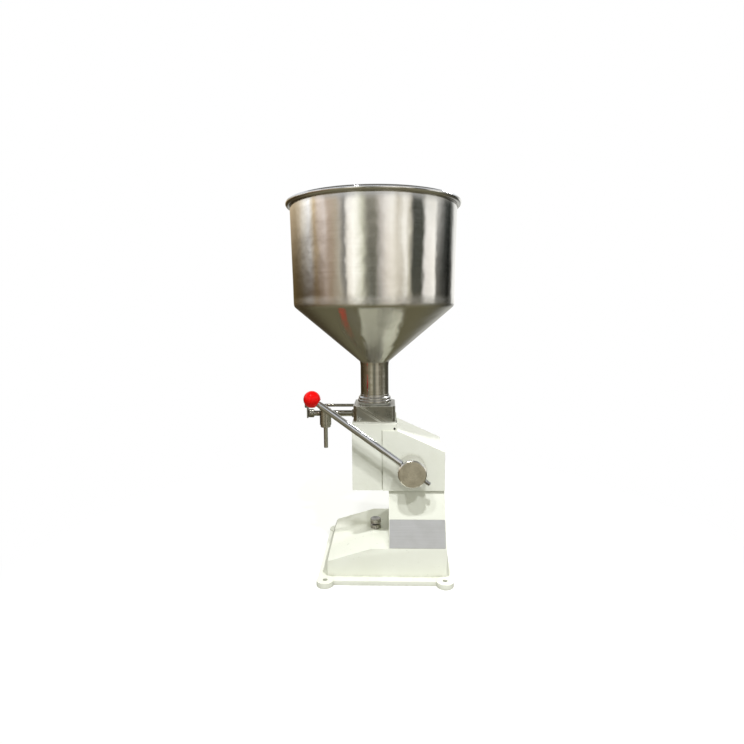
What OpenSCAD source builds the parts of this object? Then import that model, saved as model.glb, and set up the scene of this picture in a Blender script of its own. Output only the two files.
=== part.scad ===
// Hand-operated piston filler for paste and liquid.
// A stainless hopper stands on a steel valve block.  The block sits on a
// cast head that a cast C-frame carries over a wide foot.  A side lever turns
// a gear inside the head; the gear drives a rack, and the rack drives the
// piston that draws product from the hopper and pushes it out of the nozzle.
// Frame: X left to right seen from the lever side (nozzle towards -X),
// +Y away from the lever, +Z up, origin on the resting plane in the middle of
// the four foot bolts.

/* [Hopper] */
// radius of the hopper wall at the seam with the cone
hopper_r = 149.8; // [140:0.1:156]
// extra radius of the wall at the rim
hopper_flare = 3.5; // [0:0.5:5]
// height of the straight wall above the seam
hopper_wall_h = 182.7; // [150:0.1:200]
// height of the cone below the seam
hopper_cone_h = 104.3; // [90:0.1:115]
// sheet thickness of the hopper
sheet_t = 1.5; // [1.2:0.1:2]
// diameter of the rolled rim bead
bead_d = 9.2; // [8:0.1:11]

/* [Neck and valve block] */
// outside diameter of the neck tube
neck_d = 53.5; // [51:0.5:54]
// height of the neck tube under the cone
neck_h = 74; // [60:1:80]
// side of the square valve block
block_w = 78.5; // [76:0.5:82]
// height of the valve block
block_h = 29.8; // [29:0.1:34]
// chamfer on the upright edges of the block
block_ch = 6.4; // [4:0.1:7]

/* [Outlet] */
// distance of the nozzle axis from the hopper axis
nozzle_reach = 96; // [94:1:104]
// outside diameter of the nozzle tube
nozzle_d = 8; // [7.6:0.1:8.4]
// length of the nozzle tube under its nut
nozzle_len = 41; // [25:1:60]

/* [Head] */
// width of the head casting across the lever axis
head_w = 112; // [110:1:114]
// height of the head underside above the table
head_z = 157; // [156:0.5:158]

/* [Lever] */
// distance from the shaft axis to the middle of the ball
lever_len = 222; // [180:1:240]
// angle of the lever above the horizontal as drawn
lever_up = 36.6; // [36:0.1:37]
// diameter of the lever rod
rod_d = 12; // [10:0.5:12]
// diameter of the ball knob
ball_d = 30.4; // [28:0.2:34]
// diameter of the lever hub
hub_d = 51; // [46:1:54]
// length of the lever hub
hub_len = 36; // [34:0.5:38]

/* [Drive] */
// number of gear teeth
gear_teeth = 26; // [26:1:26]
// gear module
gear_m = 2.5; // [2.5:0.1:2.5]
// face width of gear and rack
gear_w = 24; // [20:1:26]

/* [Cylinder] */
// bore of the dosing cylinder
bore_d = 46; // [45.6:0.1:46.4]

/* [Foot] */
// length of the foot flange
foot_l = 244; // [240:1:250]
// width of the foot flange
foot_w = 224; // [220:1:226]
// spacing of the foot bolts along the machine
bolt_x = 215; // [210:1:218]
// spacing of the foot bolts across the machine
bolt_y = 220; // [216:1:222]
// diameter of the foot bolt holes
bolt_hole_d = 9; // [8:0.5:11]

/* [Hidden] */
$fn = 64;
e = 0.01;
hx = -19;                       // hopper axis
wall = 8;
head_top = 282.5;
blk_top = head_top + block_h;
sx = 68.6;  sz = 200.7;         // lever shaft axis
pr = gear_teeth * gear_m / 2;   // pitch radius
rack_x = sx - pr;               // rack pitch line
col_z = 314.9 + block_h - 29.8; // underside of the collar
seam_z = col_z + 4 + neck_h + hopper_cone_h;
cone_z = col_z + 4 + neck_h;
rim_z = seam_z + hopper_wall_h;
oz = head_top + 9.1;            // outlet axis
nx = -nozzle_reach;             // nozzle axis, from the hopper axis
hy0 = -61.5 - hub_len;          // outer face of the hub
ly = -61.5 - hub_len / 2;       // plane of the lever rod
hw = head_w / 2;

// ---- helpers ---------------------------------------------------------------
module H() { translate([hx, 0, 0]) children(); }
module prismY(p, y0, y1) { translate([0, y1, 0]) rotate([90, 0, 0]) linear_extrude(y1 - y0) polygon(p); }
module prismX(p, x0, x1) { translate([x0, 0, 0]) rotate([90, 0, 90]) linear_extrude(x1 - x0) polygon(p); }
module cylY(r, y0, y1, x, z) { translate([x, y1, z]) rotate([90, 0, 0]) cylinder(r = r, h = y1 - y0); }
module cylX(r, x0, x1, y, z) { translate([x0, y, z]) rotate([0, 90, 0]) cylinder(r = r, h = x1 - x0); }
module cylZ(r, z0, z1, x, y) { translate([x, y, z0]) cylinder(r = r, h = z1 - z0); }
module box(a, b) { translate(a) cube(b - a); }
module lathe(p) { rotate_extrude($fn = 96) polygon(p); }
// turned part along +Y: profile points are [radius, distance along Y]
module latheY(p, x, z) { translate([x, 0, z]) rotate([-90, 0, 0]) rotate_extrude() polygon(p); }
// turned part along +X
module latheX(p, y, z) { translate([0, y, z]) rotate([0, 90, 0]) rotate_extrude() polygon(p); }
// socket head screw along +Z, head below: head top face at z = 0
module cap_screw(r, l, hr, hh) {
  difference() {
    union() { translate([0, 0, -hh]) cylinder(r = hr, h = hh); translate([0, 0, -e]) cylinder(r = r, h = l + e); }
    translate([0, 0, -hh - 1]) cylinder(r = hr * 0.5, h = hh * 0.6 + 1, $fn = 6);
  }
}
// frame of the lever rod: local +Z runs from the shaft axis to the ball
module along_lever() { translate([sx, ly, sz]) rotate([0, -(90 - lever_up), 0]) children(); }
// round wire wound into a spring along +Z
module coil(r, w, h, turns) {
  ns = 14; nk = 6; n = turns * ns;
  pts = [for (i = [0 : n]) let (a = 360 * i / ns, z = w + (h - 2 * w) * i / n)
    for (k = [0 : nk - 1]) let (b = 360 * k / nk)
      [(r + w * cos(b)) * cos(a), (r + w * cos(b)) * sin(a), z + w * sin(b)]];
  side = [for (i = [0 : n - 1]) for (k = [0 : nk - 1])
    [i * nk + k, (i + 1) * nk + k, (i + 1) * nk + (k + 1) % nk, i * nk + (k + 1) % nk]];
  polyhedron(points = pts, faces = concat([[for (k = [0 : nk - 1]) k]], side,
    [[for (k = [0 : nk - 1]) n * nk + nk - 1 - k]]), convexity = 6);
}

// ---- fixed frame -----------------------------------------------------------
foot_body = [[-116, 4], [-116, 8], [-104.5, 37], [-25, 61], [112, 61], [118, 8], [118, 4]];
foot_hole = [[-109, -1], [-109, 8], [-99, 31], [-24, 53.5], [105, 53.5], [110, 8], [110, -1]];
module frame_casting() color([0.9, 0.91, 0.86]) difference() {
  union() {
    box([-foot_l / 2, -foot_w / 2, 0], [foot_l / 2, foot_w / 2, 8]);
    for (i = [-1, 1], j = [-1, 1]) cylZ(15.5, 0, 9.5, i * bolt_x / 2, j * bolt_y / 2);
    intersection() {
      prismY(foot_body, -95, 95);
      translate([0, 0, -1]) linear_extrude(80) polygon([[-104.5, -95], [-120, -72], [-120, 72], [-104.5, 95],
        [112, 95], [120, 84], [120, -84], [112, -95]]);
    }
    intersection() {
      prismY([[7.5, 50], [7.5, head_z], [110.5, head_z], [112, 50]], -96, 96);
      prismX([[-95, 50], [-95, 61], [-53, head_z], [53, head_z], [95, 61], [95, 50]], 0, 120);
    }
    // boss for the stroke screw under the top of the foot
    cylZ(14, 45, 56, hx, 0);
  }
  // hollow foot and column, ribs left standing
  difference() {
    prismY(foot_hole, -88, 88);
    cylZ(14, 45, 60, hx, 0);
  }
  intersection() {
    prismY([[15.5, 40], [15.5, 145], [102.5, 145], [104, 40]], -88, 88);
    prismX([[-87.4, 40], [-87.4, 60], [-50.5, 145], [50.5, 145], [87.4, 60], [87.4, 40]], 0, 120);
  }
  cylZ(6.05, 40, 62, hx, 0);
  for (i = [-1, 1], j = [-1, 1]) cylZ(bolt_hole_d / 2, -1, 12, i * bolt_x / 2, j * bolt_y / 2);
  // bolt holes and drive window in the top of the column
  H() for (x = [40, 114], y = [-34, 34]) cylZ(4.05, 140, head_z + 1, x, y);
  H() box([50, -15, 140], [88, 15, head_z + 1]);
}

module head_casting() color([0.9, 0.91, 0.86]) H() difference() {
  union() {
    difference() {
      prismY([[-41, head_z], [-41, head_top], [42, head_top], [42, 267.5], [126.5, 229.1], [126.5, head_z]], -hw, hw);
      box([-33, -hw + 10, head_z + 12], [41, hw - 10, head_top - 14]);
      box([40, -hw + 10, head_z + 12], [130, hw - 10, 300]);
    }
    for (s = [-1, 1]) cylY(20, min(s * (hw - 18), s * (hw - 9)), max(s * (hw - 18), s * (hw - 9)), sx, sz);
    box([40, -hw + 9, head_z + 11], [48, hw - 9, head_z + 30]);
  }
  // lever shaft bushes
  cylY(13.05, -hw - 1, hw + 1, sx, sz);
  // dosing cylinder
  cylZ(27.05, 240, head_top + 1, 0, 0);
  cylZ(31.05, head_top - 4, head_top + 1, 0, 0);
  // piston rod guide, rack and gear window in the floor of the head
  cylZ(11.05, head_z - 1, 180, 0, 0);
  box([19.8, -15.2, head_z - 1], [88, 15.2, head_z + 40]);
  for (x = [-26, 26], y = [-30, 30]) cylZ(3.2, 260, head_top + 1, x, y);
  for (x = [40, 114], y = [-34, 34]) { cylZ(4.2, head_z - 1, head_z + 13, x, y); cylZ(7, head_z + 12, head_z + 31, x, y); }
  cylY(2.05, -hw - 1, -hw + 9, 37.5, 274);
  for (z = [172, 216], s = [-1, 1]) cylX(2.05, 111, 127, s * (hw - 6), z);
  // sealing groove beside the front edge of the rear hood
  for (s = [-1, 1]) box([13.8, min(s * (hw + 1), s * (hw - 1.6)), head_z - 1], [15.4, max(s * (hw + 1), s * (hw - 1.6)), 270.5]);
}

hood_out = [[15.4, head_z], [15.4, 270.5], [42.3, 270.5], [130, 230.5], [130, head_z]];
hood_in = [[14, head_z - 1], [14, 300], [42.3, 300], [42.3, 267.75], [127.4, 229], [127.4, head_z - 1]];
module rear_hood() color([0.9, 0.91, 0.86]) H() difference() {
  prismY(hood_out, -hw - 2.6, hw + 2.6);
  prismY(hood_in, -hw - 0.1, hw + 0.1);
  cylY(11, -hw - 4, hw + 4, sx, sz);
  for (z = [172, 216], s = [-1, 1]) translate([130.02, s * (hw - 6), z]) rotate([0, -90, 0]) { cylinder(r1 = 4.3, r2 = 2.1, h = 2.3); cylinder(r = 2.1, h = 5); }
}
module hood_screws() color([0.7, 0.71, 0.72]) H() for (z = [172, 216], s = [-1, 1])
  translate([129.9, s * (hw - 6), z]) rotate([0, -90, 0]) difference() {
    union() { cylinder(r1 = 4.15, r2 = 2, h = 2.15); cylinder(r = 2, h = 17.9); }
    translate([0, 0, -1]) cylinder(r = 1.3, h = 2.3, $fn = 6);
  }
module head_bolts() color([0.25, 0.25, 0.26]) H() for (x = [40, 114], y = [-34, 34])
  translate([x, y, head_z + 12.1]) rotate([180, 0, 0]) cap_screw(4, 24, 6.5, 8);
module head_grub_screw() color([0.2, 0.2, 0.2]) H() difference() {
  cylY(2, -hw - 0.4, -hw + 8, 37.5, 274);
  translate([37.5, -hw - 1, 274]) rotate([-90, 0, 0]) cylinder(r = 1.1, h = 3, $fn = 6);
}
module near_bush() color([0.75, 0.58, 0.3]) H() difference() {
  cylY(13, -hw, -hw + 18, sx, sz);
  cylY(9.05, -hw - 1, -hw + 19, sx, sz);
}
module far_bush() color([0.75, 0.58, 0.3]) H() difference() {
  cylY(13, hw - 18, hw, sx, sz);
  cylY(9.05, hw - 19, hw + 1, sx, sz);
}
module name_plate() color([0.74, 0.75, 0.74])
  translate([8.6, -95, 61]) rotate([90 - atan((95 - 53) / (head_z - 61)), 0, 0])
    translate([0, 1.4, 0.02]) linear_extrude(0.8) polygon([[0.8, 0], [100.7, 0], [101.5, 0.8], [101.5, 49.2], [100.7, 50], [0.8, 50], [0, 49.2], [0, 0.8]]);

// ---- valve block and cylinder ----------------------------------------------
module valve_block() color([0.72, 0.73, 0.72]) H() difference() {
  w = block_w / 2; c = block_ch;
  translate([0, 0, head_top]) linear_extrude(block_h) polygon([[-w + c, -w], [w - c, -w], [w, -w + c],
    [w, w - c], [w - c, w], [-w + c, w], [-w, w - c], [-w, -w + c]]);
  cylZ(19, head_top - 1, 300, 0, 0);
  cylZ(20.05, 294, 310, 0, 0);
  cylZ(22.05, 302, blk_top + 1, 0, 0);
  cylX(5.95, -w - 1, -30, 0, oz);
  cylX(3.4, -31, -10, 0, oz);
  cylX(2.95, -w - 1, -27, 0, 307.3);
  for (x = [-26, 26], y = [-30, 30]) cylZ(3.05, head_top - 1, head_top + 15, x, y);
}
module block_screws() color([0.25, 0.25, 0.26]) H() for (x = [-26, 26], y = [-30, 30])
  translate([x, y, head_top - 14.1]) cap_screw(3, 28, 5, 6);
module cylinder_barrel() color([0.75, 0.76, 0.77]) H() difference() {
  union() { cylZ(27, 243.5, head_top, 0, 0); cylZ(31, head_top - 4, head_top, 0, 0); }
  cylZ(bore_d / 2, 240, head_top + 1, 0, 0);
  difference() { cylZ(28.1, head_top - 1.7, head_top + 1, 0, 0); cylZ(25.9, head_top - 2, head_top + 2, 0, 0); }
}
module barrel_oring() color([0.08, 0.08, 0.08]) H() translate([0, 0, head_top - 0.85]) rotate_extrude() translate([27, 0]) circle(r = 0.75);

// ---- hopper ----------------------------------------------------------------
module hopper_wall() color([0.78, 0.78, 0.77]) H() union() {
  lathe([[hopper_r - sheet_t, seam_z], [hopper_r, seam_z], [hopper_r + hopper_flare, rim_z], [hopper_r + hopper_flare - sheet_t, rim_z]]);
  translate([0, 0, rim_z]) rotate_extrude($fn = 96) translate([hopper_r + hopper_flare + 2.8, 0]) circle(r = bead_d / 2);
}
module hopper_cone() color([0.78, 0.78, 0.77]) H() lathe([[neck_d / 2 - 1.5, cone_z], [neck_d / 2 + 1.1, cone_z], [hopper_r, seam_z],
  [hopper_r - 2.5, seam_z]]);
module hopper_neck() color([0.78, 0.78, 0.77]) H() lathe([[neck_d / 2 - 1.5, col_z + 4], [neck_d / 2, col_z + 4],
  [neck_d / 2, cone_z - 8], [neck_d / 2 + 1.1, cone_z], [neck_d / 2 - 1.5, cone_z]]);
module neck_collar() color([0.76, 0.76, 0.75]) H() lathe([[22.05, col_z], [30.4, col_z], [30.4, col_z + 1.3],
  [31.8, col_z + 1.3], [32.3, col_z + 1.8], [32.3, col_z + 5.2], [31.8, col_z + 5.7], [29.6, col_z + 6.1],
  [29.6, col_z + 7.2], [30.3, col_z + 7.2], [30.7, col_z + 7.6], [30.7, col_z + 10], [30.3, col_z + 10.4],
  [neck_d / 2 + 0.8, col_z + 12], [neck_d / 2 + 0.8, col_z + 15.6], [neck_d / 2 + 0.05, col_z + 15.6],
  [neck_d / 2 + 0.05, col_z + 4], [22.05, col_z + 4]]);
module hopper_gasket() color([0.9, 0.9, 0.88]) H() lathe([[22.3, blk_top], [29.5, blk_top], [29.5, col_z], [22.3, col_z]]);
module hopper_nipple() color([0.76, 0.76, 0.75]) H() lathe([[18.5, 302], [22, 302], [22, 321 - 0.5], [21.5, 321], [18.5, 321]]);
module inlet_seat() color([0.72, 0.72, 0.72]) H() union() {
  difference() { cylZ(20, 294, 302, 0, 0); cylZ(13.5, 293, 303, 0, 0); }
  difference() { union() { box([-14, -2, 298], [14, 2, 302]); cylZ(5.5, 298, 302, 0, 0); } cylZ(3.05, 297, 303, 0, 0); }
}
module inlet_poppet() color([0.8, 0.8, 0.8]) H() union() {
  lathe([[0, 290], [15.5, 290], [16.5, 291], [16.5, 293.7], [0, 293.7]]);
  cylZ(3, 293, 319, 0, 0);
}
module inlet_spring() color([0.75, 0.75, 0.75]) H() translate([0, 0, 302.1]) coil(5.2, 0.55, 11.7, 5);
module inlet_nut() color([0.72, 0.72, 0.72]) H() difference() { translate([0, 0, 313.9]) cylinder(r = 7, h = 3.6, $fn = 6); cylZ(3, 313, 318, 0, 0); }

// ---- outlet ----------------------------------------------------------------
module outlet_pipe() color([0.76, 0.76, 0.75]) H() latheX([[3.4, nx + 8.5], [5.9, nx + 8.5], [5.9, -44], [7.3, -44], [7.9, -43.4],
  [7.9, -42.3], [7.3, -41.7], [5.9, -41.7], [5.9, -30], [3.4, -30]], 0, oz);
module tee_body() color([0.76, 0.76, 0.75]) H() difference() {
  translate([nx, 0, 0]) lathe([[0, 268.5], [10.3, 268.5], [11.1, 269.3], [11.1, 300.2], [10.3, 301], [0, 301]]);
  cylX(5.95, nx + 8.5, nx + 14, 0, oz);
  cylX(5.6, nx - 8.4, nx + 8.6, 0, oz);
  cylX(4.15, nx - 14, nx - 8, 0, oz);
  cylZ(3, 270, oz, nx, 0);
  cylZ(nozzle_d / 2 - 0.25, 268, 277, nx, 0);
}
module tee_end_cap() color([0.8, 0.8, 0.79]) H() latheX([[0, nx - 32.2], [7, nx - 32.2], [8, nx - 31.2], [8, nx - 22.9], [7, nx - 21.9],
  [4.1, nx - 21.9], [4.1, nx - 8.5], [0, nx - 8.5]], 0, oz);
module tee_nut() color([0.74, 0.74, 0.73]) H() translate([nx, 0, 0]) lathe([[nozzle_d / 2 - 0.25, 264.4], [9, 264.4], [9.75, 265.1], [9.75, 268.5], [nozzle_d / 2 - 0.25, 268.5]]);
module nozzle_tube() color([0.78, 0.78, 0.78]) H() difference() {
  union() { cylZ(nozzle_d / 2, 264.4 - nozzle_len, 264.4, nx, 0); cylZ(nozzle_d / 2 - 0.3, 264, 277, nx, 0); }
  cylZ(nozzle_d / 2 - 1.2, 100, 300, nx, 0);
}
module outlet_ball() color([0.85, 0.85, 0.86]) H() translate([nx + 4.75, 0, oz]) sphere(r = 4.9);
module outlet_spring() color([0.75, 0.75, 0.75]) H() translate([nx - 8.3, 0, oz]) rotate([0, 90, 0]) coil(3, 0.4, 7.9, 5);
module clamp_rod() color([0.7, 0.7, 0.7]) H() cylX(2.9, nx - 38.5, -27, 0, 307.3);
module clamp_plate() color([0.72, 0.72, 0.72]) H() difference() {
  box([nx - 35, -8, oz - 8], [nx - 32.4, 8, 312.3]);
  cylX(2.95, nx - 36, nx - 31, 0, 307.3);
}
module clamp_nut() color([0.7, 0.7, 0.7]) H() difference() { translate([nx - 39.4, 0, 307.3]) rotate([0, 90, 0]) cylinder(r = 5.2, h = 4.4, $fn = 6); cylX(2.9, nx - 41, nx - 34, 0, 307.3); }

// ---- lever and gear --------------------------------------------------------
module lever_shaft() color([0.7, 0.7, 0.71]) H() difference() {
  cylY(9, hy0 + 3, hw + 3, sx, sz);
  along_lever() cylinder(r = rod_d / 2 - 1.95, h = 60, center = true);
  box([sx - 2.5, -11, sz + 6.4], [sx + 2.5, 11, sz + 12]);
  cylY(4, hw - 14, hw + 4, sx, sz);
}
module shaft_key() color([0.6, 0.6, 0.6]) H() box([sx - 2.45, -10.95, sz + 6.45], [sx + 2.45, 10.95, sz + 11.4]);
rb = pr * cos(20);
function inv(r) = let (a = acos(rb / r)) tan(a) * 180 / PI - a;
function tooth(r) = 90 / gear_teeth - 0.62 + inv(pr) - inv(r);
module drive_gear() color([0.55, 0.56, 0.57]) H() {
  prof = [[pr - 1.25 * gear_m, tooth(rb + e)], [rb + e, tooth(rb + e)], [(rb + pr) / 2, tooth((rb + pr) / 2)], [pr, tooth(pr)],
    [pr + 0.5 * gear_m, tooth(pr + 0.5 * gear_m)], [pr + 0.92 * gear_m, tooth(pr + 0.92 * gear_m)]];
  ring = [for (i = [0 : gear_teeth - 1]) let (a0 = i * 360 / gear_teeth + 180 / gear_teeth) each concat(
    [for (q = prof) [q[0] * cos(a0 - q[1]), q[0] * sin(a0 - q[1])]],
    [for (k = [len(prof) - 1 : -1 : 0]) [prof[k][0] * cos(a0 + prof[k][1]), prof[k][0] * sin(a0 + prof[k][1])]])];
  difference() {
    union() {
      translate([sx, gear_w / 2, sz]) rotate([90, 0, 0]) linear_extrude(gear_w) polygon(ring);
      cylY(16, gear_w / 2 - e, 34, sx, sz);
      cylY(16, -34, -gear_w / 2 + e, sx, sz);
    }
    cylY(9.02, -40, 40, sx, sz);
    box([sx - 2.5, -40, sz], [sx + 2.5, 40, sz + 11.45]);
  }
}
module thrust_washer() color([0.75, 0.58, 0.3]) H() difference() { cylY(15, -61.4, -hw - 2.9, sx, sz); cylY(9.05, -62, -hw, sx, sz); }
module lever_hub() color([0.68, 0.66, 0.62]) H() difference() {
  latheY([[0, hy0], [hub_d / 2 - 1.8, hy0], [hub_d / 2, hy0 + 1.8], [hub_d / 2, -62.5], [hub_d / 2 - 1, -61.5], [0, -61.5]], sx, sz);
  cylY(9.05, hy0 + 2.9, -60, sx, sz);
  along_lever() { cylinder(r = rod_d / 2 - 1.95, h = 120, center = true); translate([0, 0, 12]) cylinder(r = rod_d / 2 + 0.05, h = 30); }
  translate([sx, -69, sz]) rotate([0, 60, 0]) cylinder(r = 3.05, h = 40);
}
module hub_grub_screw() color([0.2, 0.2, 0.2]) H() translate([sx, -69, sz]) rotate([0, 60, 0]) difference() {
  translate([0, 0, 9.2]) cylinder(r = 3, h = hub_d / 2 - 11);
  translate([0, 0, hub_d / 2 - 5]) cylinder(r = 1.6, h = 5, $fn = 6);
}
module lever_rod() color([0.8, 0.8, 0.8]) H() along_lever() union() {
  translate([0, 0, -40]) cylinder(r = rod_d / 2 - 2, h = lever_len + 44);
  translate([0, 0, 12.1]) cylinder(r = rod_d / 2, h = lever_len - ball_d / 2 + 1.9 - 12.1);
}
module ball_knob() color([0.85, 0.06, 0.06]) H() along_lever() difference() {
  translate([0, 0, lever_len]) sphere(r = ball_d / 2);
  translate([0, 0, lever_len - ball_d]) cylinder(r = rod_d / 2 + 0.05, h = ball_d / 2 + 2);
  translate([0, 0, lever_len - ball_d]) cylinder(r = rod_d / 2 - 1.95, h = ball_d + 4.1);
}
module end_washer() color([0.72, 0.72, 0.72]) H() difference() { cylY(14, hw + 3.05, hw + 5.5, sx, sz); cylY(4.1, hw, hw + 8, sx, sz); }
module end_bolt() color([0.6, 0.6, 0.6]) H() union() {
  translate([sx, hw + 11, sz]) rotate([90, 0, 0]) cylinder(r = 7.5, h = 5.4, $fn = 6);
  cylY(3.95, hw - 12, hw + 7, sx, sz);
}

// ---- piston and rack -------------------------------------------------------
module piston_head() color([0.78, 0.79, 0.8]) H() difference() {
  lathe([[0, 269.5], [21.6, 269.5], [22.6, 270.5], [22.6, 278.7], [21.8, 279.5], [0, 279.5]]);
  for (z = [272.4, 275.9]) difference() { cylZ(24, z, z + 2.2, 0, 0); cylZ(20.4, z - 1, z + 4, 0, 0); }
  cylZ(6.7, 274.8, 281, 0, 0);
  cylZ(3.1, 265, 281, 0, 0);
}
module piston_seals() color([0.92, 0.92, 0.9]) H() for (z = [272.4, 275.9])
  difference() { cylZ(bore_d / 2 - 0.05, z + 0.05, z + 2.15, 0, 0); cylZ(20.45, z - 1, z + 4, 0, 0); }
module piston_screw() color([0.7, 0.7, 0.7]) H() translate([0, 0, 274.85]) rotate([180, 0, 0]) cap_screw(3, 22, 6.4, 4.4);
module piston_rod() color([0.8, 0.8, 0.81]) H() difference() {
  union() { cylZ(7, 159, 269.5, 0, 0); cylZ(6, 158, 160, 0, 0); }
  cylZ(3.05, 252, 271, 0, 0);
  cylY(2.55, -10, 10, 0, 231);
}
module crosshead() color([0.6, 0.61, 0.62]) H() difference() {
  box([-14, -15, 224], [26, 15, 238]);
  cylZ(7.05, 220, 240, 0, 0);
  cylY(2.55, -16, 16, 0, 231);
  for (s = [-1, 1]) cylX(2.1, -15, 27, s * 11.2, 226.9 + 4.1);
}
module crosshead_pin() color([0.7, 0.7, 0.7]) H() cylY(2.5, -8.9, 8.9, 0, 231);
module gear_rack() color([0.55, 0.56, 0.57]) H() difference() {
  rp = PI * gear_m; z0 = 187.5; z1 = 240.5; t = rp / 4 - 0.36; k = tan(20);
  union() {
    box([26, -13, z0], [rack_x - 1.25 * gear_m, 13, z1]);
    for (i = [-1 : 4]) let (zc = sz + i * rp) if (zc - rp / 2 > z0 - 2 && zc + rp / 2 < z1 + 2)
      prismY([[rack_x - 1.25 * gear_m - e, zc - t - 1.25 * gear_m * k], [rack_x + 0.9 * gear_m, zc - t + 0.9 * gear_m * k],
        [rack_x + 0.9 * gear_m, zc + t - 0.9 * gear_m * k], [rack_x - 1.25 * gear_m - e, zc + t + 1.25 * gear_m * k]], -13, 13);
  }
  for (s = [-1, 1]) cylX(2.05, 25, 31, s * 11.2, 231);
}
module rack_screws() color([0.25, 0.25, 0.26]) H() for (s = [-1, 1])
  translate([-14.1, s * 11.2, 231]) rotate([0, 90, 0]) cap_screw(2, 44.5, 3.6, 4);
module rack_guide() color([0.75, 0.58, 0.3]) H() box([19.9, -15, head_z + 1], [25.6, 15, head_z + 22]);
module rod_guide() color([0.75, 0.58, 0.3]) H() difference() { cylZ(11, head_z, head_z + 15, 0, 0); cylZ(7.05, 150, 190, 0, 0); }

// ---- stroke stop -----------------------------------------------------------
module stroke_screw() color([0.6, 0.6, 0.58]) H() union() {
  cylZ(6, 5, 72, 0, 0);
  lathe([[0, 70.6], [9.3, 70.6], [10.1, 71.4], [10.1, 78.8], [9.3, 79.6], [0, 79.6]]);
}
module stroke_lock_nut() color([0.6, 0.6, 0.58]) H() lathe([[6.05, 61], [9.3, 61], [10.1, 61.8], [10.1, 67.7], [9.3, 68.5], [6.05, 68.5]]);

frame_casting();
head_casting();
rear_hood();
hood_screws();
head_bolts();
head_grub_screw();
valve_block();
block_screws();
cylinder_barrel();
barrel_oring();
hopper_wall();
hopper_cone();
hopper_neck();
neck_collar();
hopper_gasket();
hopper_nipple();
inlet_seat();
inlet_poppet();
inlet_spring();
inlet_nut();
outlet_pipe();
tee_body();
tee_end_cap();
tee_nut();
nozzle_tube();
outlet_ball();
outlet_spring();
clamp_rod();
clamp_plate();
clamp_nut();
lever_shaft();
shaft_key();
drive_gear();
near_bush();
far_bush();
thrust_washer();
lever_hub();
hub_grub_screw();
lever_rod();
ball_knob();
end_washer();
end_bolt();
piston_head();
piston_seals();
piston_screw();
piston_rod();
crosshead();
crosshead_pin();
gear_rack();
rack_screws();
rack_guide();
rod_guide();
stroke_screw();
stroke_lock_nut();
name_plate();
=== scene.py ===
import math

import bmesh
import bpy
from mathutils import Matrix, Vector


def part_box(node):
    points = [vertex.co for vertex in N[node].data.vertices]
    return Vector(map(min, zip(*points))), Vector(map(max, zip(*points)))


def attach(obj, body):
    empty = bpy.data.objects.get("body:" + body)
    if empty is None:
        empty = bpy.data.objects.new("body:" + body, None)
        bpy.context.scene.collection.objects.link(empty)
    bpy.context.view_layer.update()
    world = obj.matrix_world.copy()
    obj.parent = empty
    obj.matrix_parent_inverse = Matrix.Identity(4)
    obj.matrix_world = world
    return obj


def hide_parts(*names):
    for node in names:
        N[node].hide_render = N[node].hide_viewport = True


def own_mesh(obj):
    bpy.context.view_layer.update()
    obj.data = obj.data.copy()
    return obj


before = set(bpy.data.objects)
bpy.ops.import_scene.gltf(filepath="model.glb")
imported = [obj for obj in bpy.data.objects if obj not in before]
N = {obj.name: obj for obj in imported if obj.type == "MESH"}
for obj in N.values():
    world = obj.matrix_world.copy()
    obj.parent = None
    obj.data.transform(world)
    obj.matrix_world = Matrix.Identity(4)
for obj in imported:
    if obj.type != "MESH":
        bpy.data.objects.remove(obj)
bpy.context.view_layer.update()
HX = -0.019                      # hopper and piston axis, from the foot centre


def mid(node):
    a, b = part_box(node)
    return (a + b) / 2


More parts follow.
